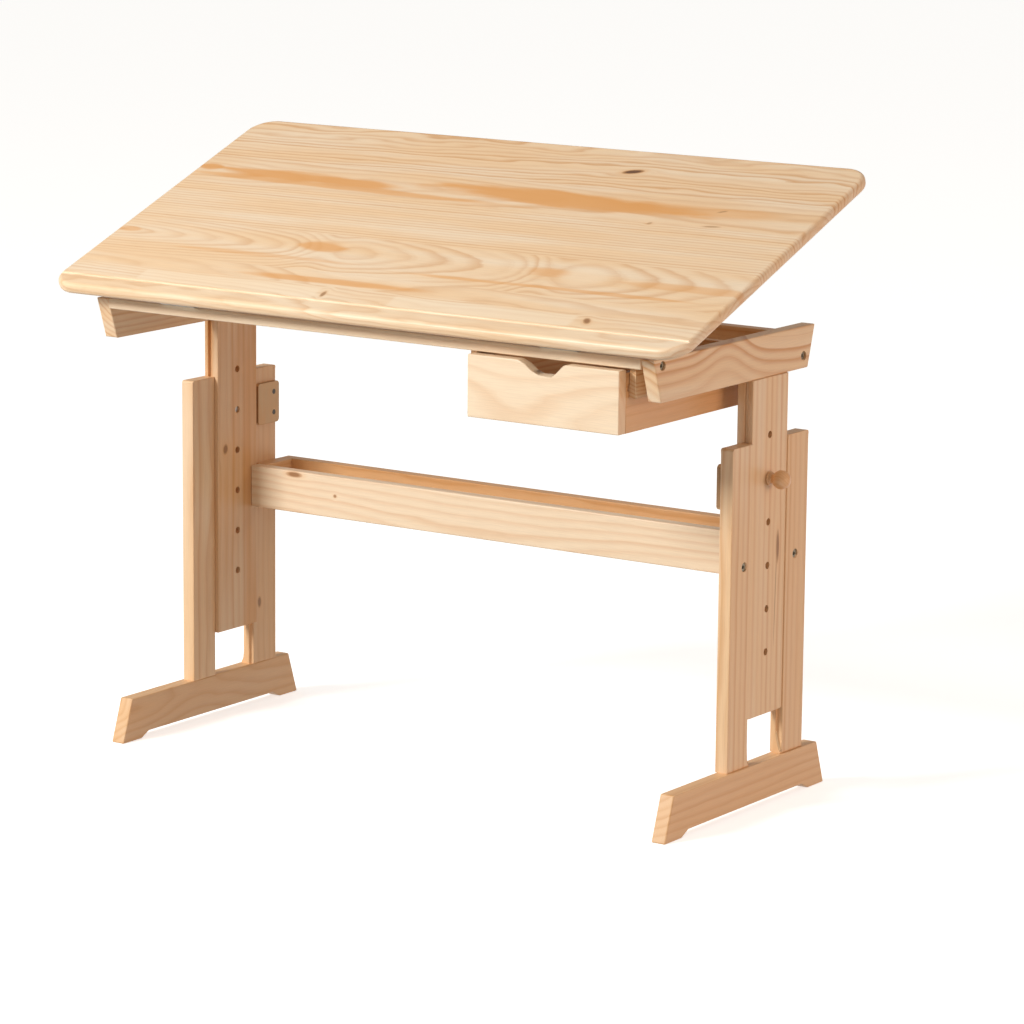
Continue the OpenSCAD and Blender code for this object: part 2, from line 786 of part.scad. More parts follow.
module stay_guide_right() color("tan") place() stay_guide_shape();
module guide_screws() color("dimgray") place() {
    guide_screw_set(0);
    left() guide_screw_set(0);
}
module tabletop() color("wheat") on_top() tabletop_shape();
module batten_left() color("burlywood") on_top() left() batten_shape();
module batten_right() color("burlywood") on_top() batten_shape();
module hinge_top_leaves() color("silver") on_top() place_hinges() top_leaf();
module hinge_top_screws() color("dimgray") on_top() place_hinges() top_leaf_screws(0);
module stay_left() color("silver") on_top() left() stay_shape();
module stay_right() color("silver") on_top() stay_shape();
module stay_screws() color("dimgray") on_top() {
    stay_screw_set(0);
    left() stay_screw_set(0);
}
module batten_screws() color("dimgray") on_top() {
    batten_screw_set(0);
    left() batten_screw_set(0);
}
module drawer_front() color("wheat") place() drawer_front_shape();
module drawer_side_left() color("burlywood") place()
    translate([drawer_x0, 0, 0]) drawer_side_shape();
module drawer_side_right() color("burlywood") place()
    translate([drawer_x1, 0, 0]) left() drawer_side_shape();
module drawer_back() color("burlywood") place() drawer_back_shape();
module drawer_bottom() color("tan") place() drawer_panel(0);
module knob_left() color("burlywood") place() left() knob_shape();
module knob_pin_left() color("silver") place() left() knob_pin_shape();
module knob_right() color("burlywood") place() knob_shape();
module knob_pin_right() color("silver") place() knob_pin_shape();

foot_left();
foot_right();
upright_front_left();
upright_front_right();
upright_rear_left();
upright_rear_right();
plate_left();
plate_right();
plate_screws();
end_block_left();
end_block_right();
stretcher_front();
stretcher_rear();
leg_bolts();
foot_dowels();
stretcher_dowels();
post_left();
post_right();
side_rail_left();
side_rail_right();
front_rail();
rear_rail();
runner_left();
runner_right();
rail_bolts();
barrel_nuts();
post_dowels();
hinge_rail_leaves();
hinge_pins();
hinge_rail_screws();
stay_guide_left();
stay_guide_right();
guide_screws();
tabletop();
batten_left();
batten_right();
hinge_top_leaves();
hinge_top_screws();
stay_left();
stay_right();
stay_screws();
batten_screws();
drawer_front();
drawer_side_left();
drawer_side_right();
drawer_back();
drawer_bottom();
knob_left();
knob_pin_left();
knob_right();
knob_pin_right();
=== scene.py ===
"""Solid pine drafting table: tilting top, height posts, drawer and turned knobs."""

import math

import bpy
from mathutils import Matrix, Vector


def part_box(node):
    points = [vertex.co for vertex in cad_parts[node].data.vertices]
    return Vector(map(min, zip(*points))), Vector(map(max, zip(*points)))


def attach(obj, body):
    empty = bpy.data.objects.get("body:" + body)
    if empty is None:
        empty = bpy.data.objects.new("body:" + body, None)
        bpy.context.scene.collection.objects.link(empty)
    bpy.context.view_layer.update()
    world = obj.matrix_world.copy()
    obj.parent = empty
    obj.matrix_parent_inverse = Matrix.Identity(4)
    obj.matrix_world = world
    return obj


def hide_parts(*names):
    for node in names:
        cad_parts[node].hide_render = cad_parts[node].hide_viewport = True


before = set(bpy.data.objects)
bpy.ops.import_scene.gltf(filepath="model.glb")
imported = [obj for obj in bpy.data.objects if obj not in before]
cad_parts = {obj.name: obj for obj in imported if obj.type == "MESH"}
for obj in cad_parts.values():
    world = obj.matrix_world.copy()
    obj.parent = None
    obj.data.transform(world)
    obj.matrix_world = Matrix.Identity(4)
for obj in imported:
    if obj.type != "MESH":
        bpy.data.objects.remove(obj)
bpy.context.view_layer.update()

MM = 0.001
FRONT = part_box("foot_left")[0].y  # the feet's front ends, in metres

# the top, in millimetres
TILT = math.radians(21.1)
HINGE = (FRONT / MM - 50, 686)  # depth and height of the hinge line
TOP_WIDE, TOP_DEEP, TOP_THICK = 1090, 550, 18
TOP_FRONT = -16.9  # front edge, from the hinge line along the slope
TOP_UNDER = 3.3  # underside, above the hinge line
CORNER, NOSING = 40, 7  # radius of the corners, and of the edges
GROOVE_MIDDLE, GROOVE_RADIUS, GROOVE_DEPTH = 31, 3.5, 2.7
GROOVE_CUTS = 11

SMOOTH_BOARD, SMOOTH_SHAPED = math.radians(32), math.radians(40)


# ---------------------------------------------------------------- shader maths


class Num:
    """A number socket in a material, with the operators that add Math nodes."""

    def __init__(self, graph, socket):
        self.graph, self.socket = graph, socket

    def __add__(self, other):
        return self.graph.number("ADD", self, other)

    def __sub__(self, other):
        return self.graph.number("SUBTRACT", self, other)

    def __rsub__(self, other):
        return self.graph.number("SUBTRACT", other, self)

    def __mul__(self, other):
        return self.graph.number("MULTIPLY", self, other)

    def __truediv__(self, other):
        return self.graph.number("DIVIDE", self, other)

    def __rtruediv__(self, other):
        return self.graph.number("DIVIDE", other, self)

    def __neg__(self):
        return self * -1.0

    __radd__ = __add__
    __rmul__ = __mul__


class Graph:
    """The nodes of one material, or of the room's light."""

    def __init__(self, tree):
        self.tree = tree

    def node(self, kind, settings=None, **sockets):
        """Adds a node; a socket is given by its name, or by _ and its number."""
        made = self.tree.nodes.new(kind)
        for name, value in (settings or {}).items():
            if name == "stops":
                elements = made.color_ramp.elements
                while len(elements) < len(value):
                    elements.new(0.5)
                for element, (at, colour) in zip(elements, value):
                    element.position = at
                    element.color = (*colour, 1)
            else:
                setattr(made, name, value)
        for name, value in sockets.items():
            key = int(name[1:]) if name[0] == "_" else name.replace("_", " ")
            self.feed(made.inputs[key], value)
        return made

    def feed(self, socket, value):
        if isinstance(value, Num):
            value = value.socket
        if isinstance(value, bpy.types.NodeSocket):
            self.tree.links.new(value, socket)
        else:
            socket.default_value = value

    def number(self, kind, *values, clamp=False):
        made = self.node("ShaderNodeMath", {"operation": kind, "use_clamp": clamp})
        for i, value in enumerate(values):
            self.feed(made.inputs[i], value)
        return Num(self, made.outputs[0])

    def axes(self, vector):
        split = self.node("ShaderNodeSeparateXYZ", Vector=vector)
        return [Num(self, split.outputs[i]) for i in range(3)]

    def noise(self, x, y, z, detail=2.0, rough=0.5):
        point = self.node("ShaderNodeCombineXYZ", X=x, Y=y, Z=z).outputs[0]
        made = self.node("ShaderNodeTexNoise", Vector=point, Scale=1.0, Detail=detail,
                         Roughness=rough)
        return Num(self, made.outputs["Fac"])

    def step(self, value, low, high, kind="SMOOTHSTEP"):
        """0 below low, 1 above high, smooth between."""
        made = self.node("ShaderNodeMapRange", {"interpolation_type": kind}, Value=value,
                         _1=low, _2=high)
        return Num(self, made.outputs[0])

    def between(self, value, low, high, soft):
        return self.step(value, low, low + soft) * (1 - self.step(value, high - soft, high))

    def hill(self, value, centre, reach):
        """A smooth hill of height 1 at centre, fading out at about twice reach."""
        off = (value - centre) / reach
        return self.number("EXPONENT", -(off * off))

    def spot(self, a, b, ca, cb, ra, rb, turn=0.0):
        """Squared distance from an ellipse's centre, 1 on its rim."""
        da, db = a - ca, b - cb
        if turn:
            c, s = math.cos(turn), math.sin(turn)
            da, db = da * c + db * s, db * c - da * s
        return (da / ra) * (da / ra) + (db / rb) * (db / rb)

    def blend(self, share, under, over, kind="MIX"):
        made = self.node("ShaderNodeMix", {"data_type": "RGBA", "blend_type": kind},
                         Factor=share)
        for i, colour in ((6, under), (7, over)):
            self.feed(made.inputs[i], (*colour, 1) if isinstance(colour, tuple) else colour)
        return made.outputs[2]


class Paint(Graph):
    """Builds one material on Object coordinates in millimetres."""

    def __init__(self, name, **constants):
        self.mat = bpy.data.materials.new(name)
        self.mat.use_nodes = True
        super().__init__(self.mat.node_tree)
        self.shader = self.tree.nodes["Principled BSDF"]
        for socket, value in constants.items():
            self.shader.inputs[socket.replace("_", " ")].default_value = value
        place = self.node("ShaderNodeTexCoord").outputs["Object"]
        scaled = self.node("ShaderNodeVectorMath", {"operation": "SCALE"}, _0=place,
                           Scale=1 / MM)
        self.x, self.y, self.z = self.axes(scaled.outputs[0])

    def from_middle(self, node):
        """The three coordinates from the middle of a CAD node, and the node's size."""
        low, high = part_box(node)
        mid = (low + high) / 2 / MM
        place = [c - mid[i] for i, c in enumerate((self.x, self.y, self.z))]
        return place, (high - low) / MM

    def finish(self, colour, rough, height, bump, depth):
        """Feeds the shader; depth is the relief's full height, in metres."""
        self.feed(self.shader.inputs["Base Color"], colour)
        self.feed(self.shader.inputs["Roughness"], rough)
        relief = self.node("ShaderNodeBump", Strength=bump, Distance=depth, Height=height)
        self.feed(self.shader.inputs["Normal"], relief.outputs["Normal"])
        return self.mat


# ---------------------------------------------------------------- pine

CREAM = (0.93, 0.68, 0.43)
PALE = (0.94, 0.77, 0.57)
PALEST = (0.95, 0.80, 0.60)
HONEY = (0.78, 0.43, 0.18)
LATE = (0.68, 0.34, 0.12)
HEART = (0.76, 0.35, 0.09)
KNOT = (0.15, 0.06, 0.02)
BROWN_KNOT = (0.27, 0.11, 0.03)
RIM = (0.42, 0.20, 0.07)

# late wood across one growth ring, from the end of one winter to the end of the next
RING_STOPS = [(0.0, (0.35,) * 3), (0.18, (0.04,) * 3), (0.45, (0.12,) * 3),
              (0.72, (0.7,) * 3), (0.88, (1.0,) * 3), (1.0, (0.35,) * 3)]
KNOT_REACH, KNOT_PUSH = 2.6, 0.75  # how far, and how strongly, a knot bends the rings
RING_CHANGE = 1.37  # step through the noise that makes each ring darker or paler
FIBRE_SHARE, FIBRE_GAIN = 0.16, 1.5

# along the grain, across it, the two radii, turn, darkness
TOP_KNOTS = [
    (182, 481, 15, 5.5, 0.28, 1.0),
    (366, 55, 8, 5, -0.9, 0.6),
    (-76, 50, 3.5, 8, 0.1, 0.45),
    (297, 337, 4, 3, 0.6, 0.25),
    (388, 388, 8, 2.5, 0.5, 0.3),
    (396, 343, 14, 2.5, 0.1, 0.3),
]
# rear edge, pith across, pith depth, ring width, wave, tone, late share, slope, bumps
LAMELLAS = [
    (72, 20, -38, 6.0, 26, -0.15, 0.5, 0.02, [(120, 190, 12)]),
    (110, 60, -90, 9.0, 20, 0.05, 0.42, 0.03, [(-73, 150, 22)]),
    (217, 172, -70, 7.0, 5, 0.05, 0.55, 0.12, [(-162, 40, 13), (227, 40, 13)]),
    (336, 700, -40, 7.2, 34, 0.0, 0.62, 0.02, []),
    (425, 372, -26, 10.5, 30, 0.12, 0.6, 0.03, [(-350, 160, 12), (190, 260, 16)]),
    (560, 560, -60, 8.4, 50, 0.08, 0.8, 0.03, [(182, 120, 10)]),
]
SEAM = 0.5  # width of a glue line
# along the grain, across it, the two radii, turn, strength
HEARTWOOD = [
    (130, 380, 240, 26, -0.02, 0.62),
    (-330, 378, 165, 16, -0.04, 0.6),
    (-200, 356, 330, 9, -0.03, 0.45),
    (350, 383, 150, 20, 0.0, 0.3),
    (-523, 385, 24, 12, 0.0, 0.6),
    (-73, 86, 170, 9, 0.0, 0.5),
    (-162, 181, 42, 15, 0.0, 0.5),
    (227, 174, 40, 15, 0.0, 0.36),
    (480, 166, 110, 10, 0.0, 0.3),
    (-520, 176, 22, 9, 0.0, 0.4),
    (250, 131, 250, 5, 0.0, 0.4),
    (-260, 140, 200, 5, 0.0, 0.25),
]
FINGER_JOINTED = ((-410, -84), (36, 350))  # ends of the pale pieces, along the top
FINGER_ROWS = (34, 68)  # and their two edges


class Board:
    """The look of one board: a runs along the grain, b across the face, d into it (mm)."""

    def __init__(self, paint, a, b, d, seed, knots=()):
        self.p, self.a, self.b, self.d, self.seed = paint, a, b, d, seed
        self.knots = knots
        self.wave = paint.noise(a / 210 + seed, b / 46, d / 46) - 0.5
        self.ripple = paint.noise(a / 60, b / 9 + seed, d / 9) - 0.5
        self.fibre = paint.noise(a / 34, b / 0.9, d / 0.9 + seed, 2.0, 0.6)
        self.drift = paint.noise(a / 330 + seed, b / 34, d / 34, 1.0)

    def rings(self, pith, width, wave, ripple, bumps=(), bends=(), slope=0.0):
        """Late wood, 0 to 1, of growth rings about a pith that wanders with the bumps."""
        p, b = self.p, self.b
        for ca, cb, ra, rb, turn, _ in self.knots:
            away = p.spot(self.a, b, ca, cb, KNOT_REACH * ra, KNOT_REACH * rb, turn)
            b = b - (b - cb) * p.number("EXPONENT", -away) * KNOT_PUSH
        across = b - pith[0]
        for centre, reach, height in bends:
            across = across + p.hill(self.a, centre, reach) * height
        deep = self.d - pith[1] + self.a * slope
        for centre, reach, height in bumps:
            deep = deep + p.hill(self.a, centre, reach) * height
        deep = deep + self.wave * wave
        radius = p.number("SQRT", across * across + deep * deep) + self.ripple * ripple
        ring = p.number("FLOOR", radius / width)
        share = p.number("FRACT", radius / width)
        strength = p.noise(ring * RING_CHANGE + self.seed, 0.5, 0.5, 0.0) * 1.5
        ramp = p.node("ShaderNodeValToRGB", {"stops": RING_STOPS}, Fac=share).outputs[0]
        return p.number("MULTIPLY", Num(p, ramp), strength, clamp=True)

    def colour(self, late, late_share, tone=0.0, light=CREAM):
        """Wood colour from the late wood, with slow drifts of tone and short fibres."""
        p = self.p
        wood = p.blend(p.step(self.drift, 0.35, 0.75), light, PALE)
        if tone:
            wood = p.blend(abs(tone), wood, HONEY if tone > 0 else PALE)
        wood = p.blend(late * late_share, wood, LATE)
        level = self.fibre * FIBRE_GAIN
        grey = p.node("ShaderNodeCombineColor", Red=level, Green=level, Blue=level)
        return p.blend(FIBRE_SHARE, wood, grey.outputs[0], "MULTIPLY")

    def paint_knots(self, wood):
        """Each knot as a honey halo, a brown rim and a dark core."""
        p = self.p
        for ca, cb, ra, rb, turn, dark in self.knots:
            away = p.spot(self.a, self.b, ca, cb, ra, rb, turn) + self.ripple * 1.1
            core = KNOT if dark > 0.9 else BROWN_KNOT
            wood = p.blend((1 - p.step(away, 0.6, 4.2)) * 0.55 * dark, wood, HONEY)
            wood = p.blend((1 - p.step(away, 0.8, 1.7)) * dark, wood, RIM)
            wood = p.blend((1 - p.step(away, 0.35, 0.9)) * min(1, dark * 1.2), wood, core)
        return wood

    def lacquered(self, wood, late):
        """Clear satin lacquer over the wood colour, with the grain just standing up."""
        rough = 0.40 - late * 0.06 + self.fibre * 0.10
        return self.p.finish(wood, rough, late * 0.5 + self.fibre * 0.5, 0.25, 0.00012)


def lacquer(name, coat=0.18):
    return Paint(name, Coat_Weight=coat, Coat_Roughness=0.28, IOR=1.48)


def pine(name, along, across, node, seed, pith, width, wave=16.0, share=0.8, tone=0.0,
         knots=(), bumps=(), bends=(), light=CREAM):
    """Pine for one board: grain along one axis, its broad face spread along another."""
    p = lacquer(name)
    place, size = p.from_middle(node)
    i, j = "XYZ".index(along), "XYZ".index(across)
    a, b, d = place[i], place[j], place[3 - i - j]
    board = Board(p, a, b, d, seed, knots)
    late = board.rings(pith, width, wave, 1.6, bumps, bends)
    wood = board.paint_knots(board.colour(late, share, tone, light))
    # end grain drinks more lacquer, so it is darker
    end = p.step(p.number("ABSOLUTE", a), size[i] / 2 - 1.2, size[i] / 2 - 0.2)
    wood = p.blend(end * 0.28, wood, HONEY)
    return board.lacquered(wood, late)


def pine_top():
    """The edge-glued top: six lamellas, each with its own growth rings, front to back."""
    p = lacquer("pine_of_the_top")
    c, s = math.cos(TILT), math.sin(TILT)
    dy, dz = p.y - HINGE[0], p.z - HINGE[1]
    a = p.x
    b = dy * c + dz * s - TOP_FRONT
    d = dz * c - dy * s - (TOP_UNDER + TOP_THICK)
    board = Board(p, a, b, d, 3.7, TOP_KNOTS)
    wood = all_late = front_edge = None
    for rear_edge, pith_b, pith_d, width, wave, tone, share, slope, bumps in LAMELLAS:
        late = board.rings((pith_b, pith_d), width, wave, 2.4, bumps, (), slope)
        shade = board.colour(late, share, tone)
        if wood is None:
            wood, all_late = shade, late
        else:
            over = p.step(b, front_edge - 0.15, front_edge + 0.15)
            wood = p.blend(over, wood, shade)
            all_late = all_late + (late - all_late) * over
        front_edge = rear_edge
    # heartwood: long orange tongues with ragged rims
    ragged = board.wave * 2.6 + board.ripple * 0.9
    for ca, cb, ra, rb, turn, share in HEARTWOOD:
        away = p.spot(a, b, ca, cb, ra, rb, turn) + ragged
        wood = p.blend((1 - p.step(away, 0.3, 1.3)) * min(1, share * 1.4), wood, HEART)
    for start, stop in FINGER_JOINTED:
        strip = p.between(b, *FINGER_ROWS, 5) * p.between(a, start, stop, 9)
        wood = p.blend(strip * 0.5, wood, PALEST)
    # the pale eye in the middle of the right-hand figure
    eye = p.spot(a, b, 290, 172, 44, 24)
    wood = p.blend((1 - p.step(eye, 0.1, 1.2)) * 0.4, wood, PALE)
    wood = board.paint_knots(wood)
    for edge, *_ in LAMELLAS[:-1]:
        seam = 1 - p.step(p.number("ABSOLUTE", b - edge), 0.0, SEAM)
        wood = p.blend(seam * 0.22, wood, LATE)
    return board.lacquered(wood, all_late)


# ---------------------------------------------------------------- other materials

BIRCH = (0.70, 0.50, 0.30)
BEECH = (0.62, 0.40, 0.22)
TWO_PLIES = 2.4  # a pale ply and a dark one, mm


def plywood(name, node, plies_along, face=BIRCH):
    """Thin ply: quiet face, alternate plies showing at the edges."""
    p = lacquer(name, 0.1)
    place, size = p.from_middle(node)
    k = "XYZ".index(plies_along)
    a, b = [place[i] for i in range(3) if i != k]
    d = place[k]
    cloud = p.noise(a / 14, b / 60, d, 3.0)
    fine = p.noise(a / 0.8, b / 18, d)
    dark = p.between(p.number("FRACT", d / TWO_PLIES + 0.25), 0.5, 1.0, 0.06)
    wood = p.blend(p.step(cloud, 0.3, 0.8) * 0.5, face, HONEY)
    halves = [size[i] / 2 for i in range(3) if i != k]
    rims = [p.step(p.number("ABSOLUTE", c), half - 0.8, half - 0.3)
            for c, half in zip((a, b), halves)]
    edge = p.number("MAXIMUM", *rims)
    wood = p.blend(edge * 0.55, wood, RIM)
    wood = p.blend(dark * edge * 0.6, wood, KNOT)
    return p.finish(wood, 0.5 + fine * 0.15, fine, 0.2, 0.0001)


def steel(name, colour, rough, seed):
    """Plated steel: faint brushing, small marks and cloudy sheen."""
    p = Paint(name, Metallic=1.0, IOR=2.0)
    brush = p.noise(p.x / 6 + seed, p.y / 0.25, p.z / 0.25)
    cloud = p.noise(p.x / 9, p.y / 9, p.z / 9 + seed, 3.0)
    tint = p.blend(p.step(cloud, 0.35, 0.7) * 0.4, colour, tuple(c * 0.7 for c in colour))
    return p.finish(tint, rough + cloud * 0.18 + brush * 0.08, brush, 0.15, 0.00005)


def turned_pine(name, node, seed):
    """Pine turned on a lathe: rings of the stick, faint tool marks round the axis."""
    p = lacquer(name, 0.3)
    board = Board(p, *p.from_middle(node)[0], seed)
    late = board.rings((9, 14), 3.2, 2.0, 0.8)
    wood = board.colour(late, 0.5, 0.5, (0.88, 0.46, 0.16))
    marks = p.noise(p.x / 0.35, 0.5, seed, 1.0)
    return p.finish(wood, 0.33 + marks * 0.1, marks * 0.4 + late * 0.3, 0.3, 0.0001)


# ---------------------------------------------------------------- shaping


def smooth_flats(obj):
    """Keeps flat faces flat beside their rounded edges."""
    flats = obj.modifiers.new("flats", "WEIGHTED_NORMAL")
    flats.keep_sharp = True
    bpy.ops.object.modifier_apply(modifier="flats")


def settle(obj, material, body, node):
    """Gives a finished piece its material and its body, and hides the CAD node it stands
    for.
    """
    obj.data.materials.clear()
    obj.data.materials.append(material)
    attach(obj, body)
    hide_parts(node)


def eased(node, arris, body, material, shortest=12.0):
    """A copy of a CAD board, its arrises longer than shortest eased as with a plane."""
    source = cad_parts[node]
    obj = source.copy()
    obj.data = source.data.copy()
    obj.name = node + "_wood"
    for key in list(obj.keys()):
        del obj[key]
    obj.parent = None
    bpy.context.scene.collection.objects.link(obj)
    bpy.ops.object.select_all(action="DESELECT")
    obj.select_set(True)
    bpy.context.view_layer.objects.active = obj
    bpy.ops.object.mode_set(mode="EDIT")
    bpy.ops.mesh.select_all(action="SELECT")
    bpy.ops.mesh.remove_doubles(threshold=2e-6)
    bpy.ops.mesh.dissolve_limited(angle_limit=math.radians(0.6))
    bpy.ops.object.mode_set(mode="OBJECT")
    mesh = obj.data
    normals = {}
    for face in mesh.polygons:
        for key in face.edge_keys:
            normals.setdefault(key, []).append(face.normal.copy())
    weight = mesh.attributes.get("bevel_weight_edge") or mesh.attributes.new(
        "bevel_weight_edge", "FLOAT", "EDGE")
    for edge in mesh.edges:
        a, b = (mesh.vertices[i].co for i in edge.vertices)
        sides = normals.get(tuple(sorted(edge.vertices)), [])
        sharp = len(sides) == 2 and sides[0].angle(sides[1], 0) > math.radians(25)
        long = (a - b).length > shortest * MM
        weight.data[edge.index].value = 1.0 if sharp and long else 0.0
    bpy.ops.object.shade_smooth_by_angle(angle=SMOOTH_BOARD)
    bevel = obj.modifiers.new("eased", "BEVEL")
    bevel.limit_method = "WEIGHT"
    bevel.width = arris * MM
    bevel.segments = 3
    bevel.use_clamp_overlap = False
    bpy.ops.object.modifier_apply(modifier="eased")
    smooth_flats(obj)
    settle(obj, material, body, node)


def select_edges(obj, wanted):
    """In edit mode, leaves selected the edges that wanted(one end, other end) picks."""
    bpy.ops.object.mode_set(mode="EDIT")
    bpy.ops.mesh.select_mode(type="EDGE")
    bpy.ops.mesh.select_all(action="DESELECT")
    bpy.ops.object.mode_set(mode="OBJECT")
    for edge in obj.data.edges:
        edge.select = wanted(*(obj.data.vertices[i].co for i in edge.vertices))
    bpy.ops.object.mode_set(mode="EDIT")


def shaped_top(material):
    """Round-cornered top with rounded edges and a pencil groove, then tilted into place."""
    wide, deep, thick = TOP_WIDE * MM, TOP_DEEP * MM, TOP_THICK * MM
    middle, radius, sunk = GROOVE_MIDDLE * MM, GROOVE_RADIUS * MM, GROOVE_DEPTH * MM
    bpy.ops.object.select_all(action="DESELECT")
    bpy.ops.mesh.primitive_cube_add(size=1, location=(0, deep / 2, thick / 2),
                                    scale=(wide, deep, thick))
    obj = bpy.context.object
    obj.name = "tabletop_wood"
    bpy.ops.object.transform_apply(location=True, rotation=True, scale=True)
    select_edges(obj, lambda p, q: abs(p.z - q.z) > thick / 2)
    bpy.ops.mesh.bevel(offset=CORNER * MM, segments=16, affect="EDGES")
    select_edges(obj, lambda p, q: abs(p.z - q.z) < 1e-6)
    bpy.ops.mesh.bevel(offset=NOSING * MM, segments=7, affect="EDGES")
    # cuts along the top, closer together at the groove's rims, then the middle ones sunk
    half = math.sqrt(radius ** 2 - (radius - sunk) ** 2)
    for i in range(GROOVE_CUTS):
        cut = middle - half * math.cos(math.pi * i / (GROOVE_CUTS - 1))
        bpy.ops.mesh.select_all(action="SELECT")
        bpy.ops.mesh.bisect(plane_co=(0, cut, 0), plane_no=(0, 1, 0))
    bpy.ops.object.mode_set(mode="OBJECT")
    for vertex in obj.data.vertices:
        off = vertex.co.y - middle
        if abs(off) < half and vertex.co.z > thick / 2:
            floor = thick + radius - sunk - math.sqrt(radius ** 2 - off ** 2)
            vertex.co.z = min(vertex.co.z, floor)
    bpy.ops.object.shade_smooth_by_angle(angle=SMOOTH_SHAPED)
    smooth_flats(obj)
    slope = Matrix.Rotation(TILT, 4, "X")
    start = Matrix.Translation((0, TOP_FRONT * MM, TOP_UNDER * MM))
    obj.data.transform(Matrix.Translation((0, HINGE[0] * MM, HINGE[1] * MM)) @ slope @ start)
    settle(obj, material, "top", "tabletop")


# the knob's foot and neck, each point a radius and a distance from the post, mm
KNOB_FOOT = [(9.3, 0.0), (10.0, 0.6), (10.0, 2.2), (9.4, 3.2), (7.8, 4.0), (6.6, 5.2),
             (6.3, 6.6)]
KNOB_THROAT = 6.8  # radius at which the neck meets the ball
KNOB_FLAT = 0.16  # half angle of the small flat at the ball's end, radians
KNOB_STEPS = 16


def turned_knob(node, side, body, material):
    """Ball knob turned from one stick: flared foot, thin neck, ball with a small flat."""
    low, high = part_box(node)
    mid = (low + high) / 2
    start = low.x if side > 0 else high.x
    ball = (high.z - low.z) / MM / 2
    centre = (high.x - low.x) / MM - ball
    outline = list(KNOB_FOOT)
    first = math.asin(KNOB_THROAT / ball)
    for i in range(KNOB_STEPS + 1):
        t = first + (math.pi - KNOB_FLAT - first) * i / KNOB_STEPS
        outline.append((ball * math.sin(t), centre - ball * math.cos(t)))
    bpy.ops.object.select_all(action="DESELECT")
    bpy.ops.mesh.primitive_circle_add(vertices=56, radius=outline[0][0] * MM,
                                      location=(start, mid.y, mid.z),
                                      rotation=(0, math.pi / 2, 0))
    obj = bpy.context.object
    obj.name = node + "_turned"
    bpy.ops.object.transform_apply(location=True, rotation=True, scale=True)
    bpy.ops.object.mode_set(mode="EDIT")
    bpy.ops.mesh.select_all(action="SELECT")
    bpy.ops.mesh.edge_face_add()
    for (r0, h0), (r1, h1) in zip(outline, outline[1:]):
        bpy.ops.mesh.extrude_region_move(
            TRANSFORM_OT_translate={"value": (side * (h1 - h0) * MM, 0, 0)})
        share = r1 / r0
        bpy.ops.transform.resize(value=(share, share, share),
                                 center_override=(start + side * h1 * MM, mid.y, mid.z))
    bpy.ops.mesh.select_all(action="SELECT")
    bpy.ops.mesh.normals_make_consistent(inside=False)
    bpy.ops.object.mode_set(mode="OBJECT")
    bpy.ops.object.shade_smooth_by_angle(angle=SMOOTH_SHAPED)
    settle(obj, material, body, node)


def dress(node, material):
    """Gives a CAD node its finish."""
    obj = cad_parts[node]
    obj.data.materials.clear()
    obj.data.materials.append(material)


# ---------------------------------------------------------------- boards

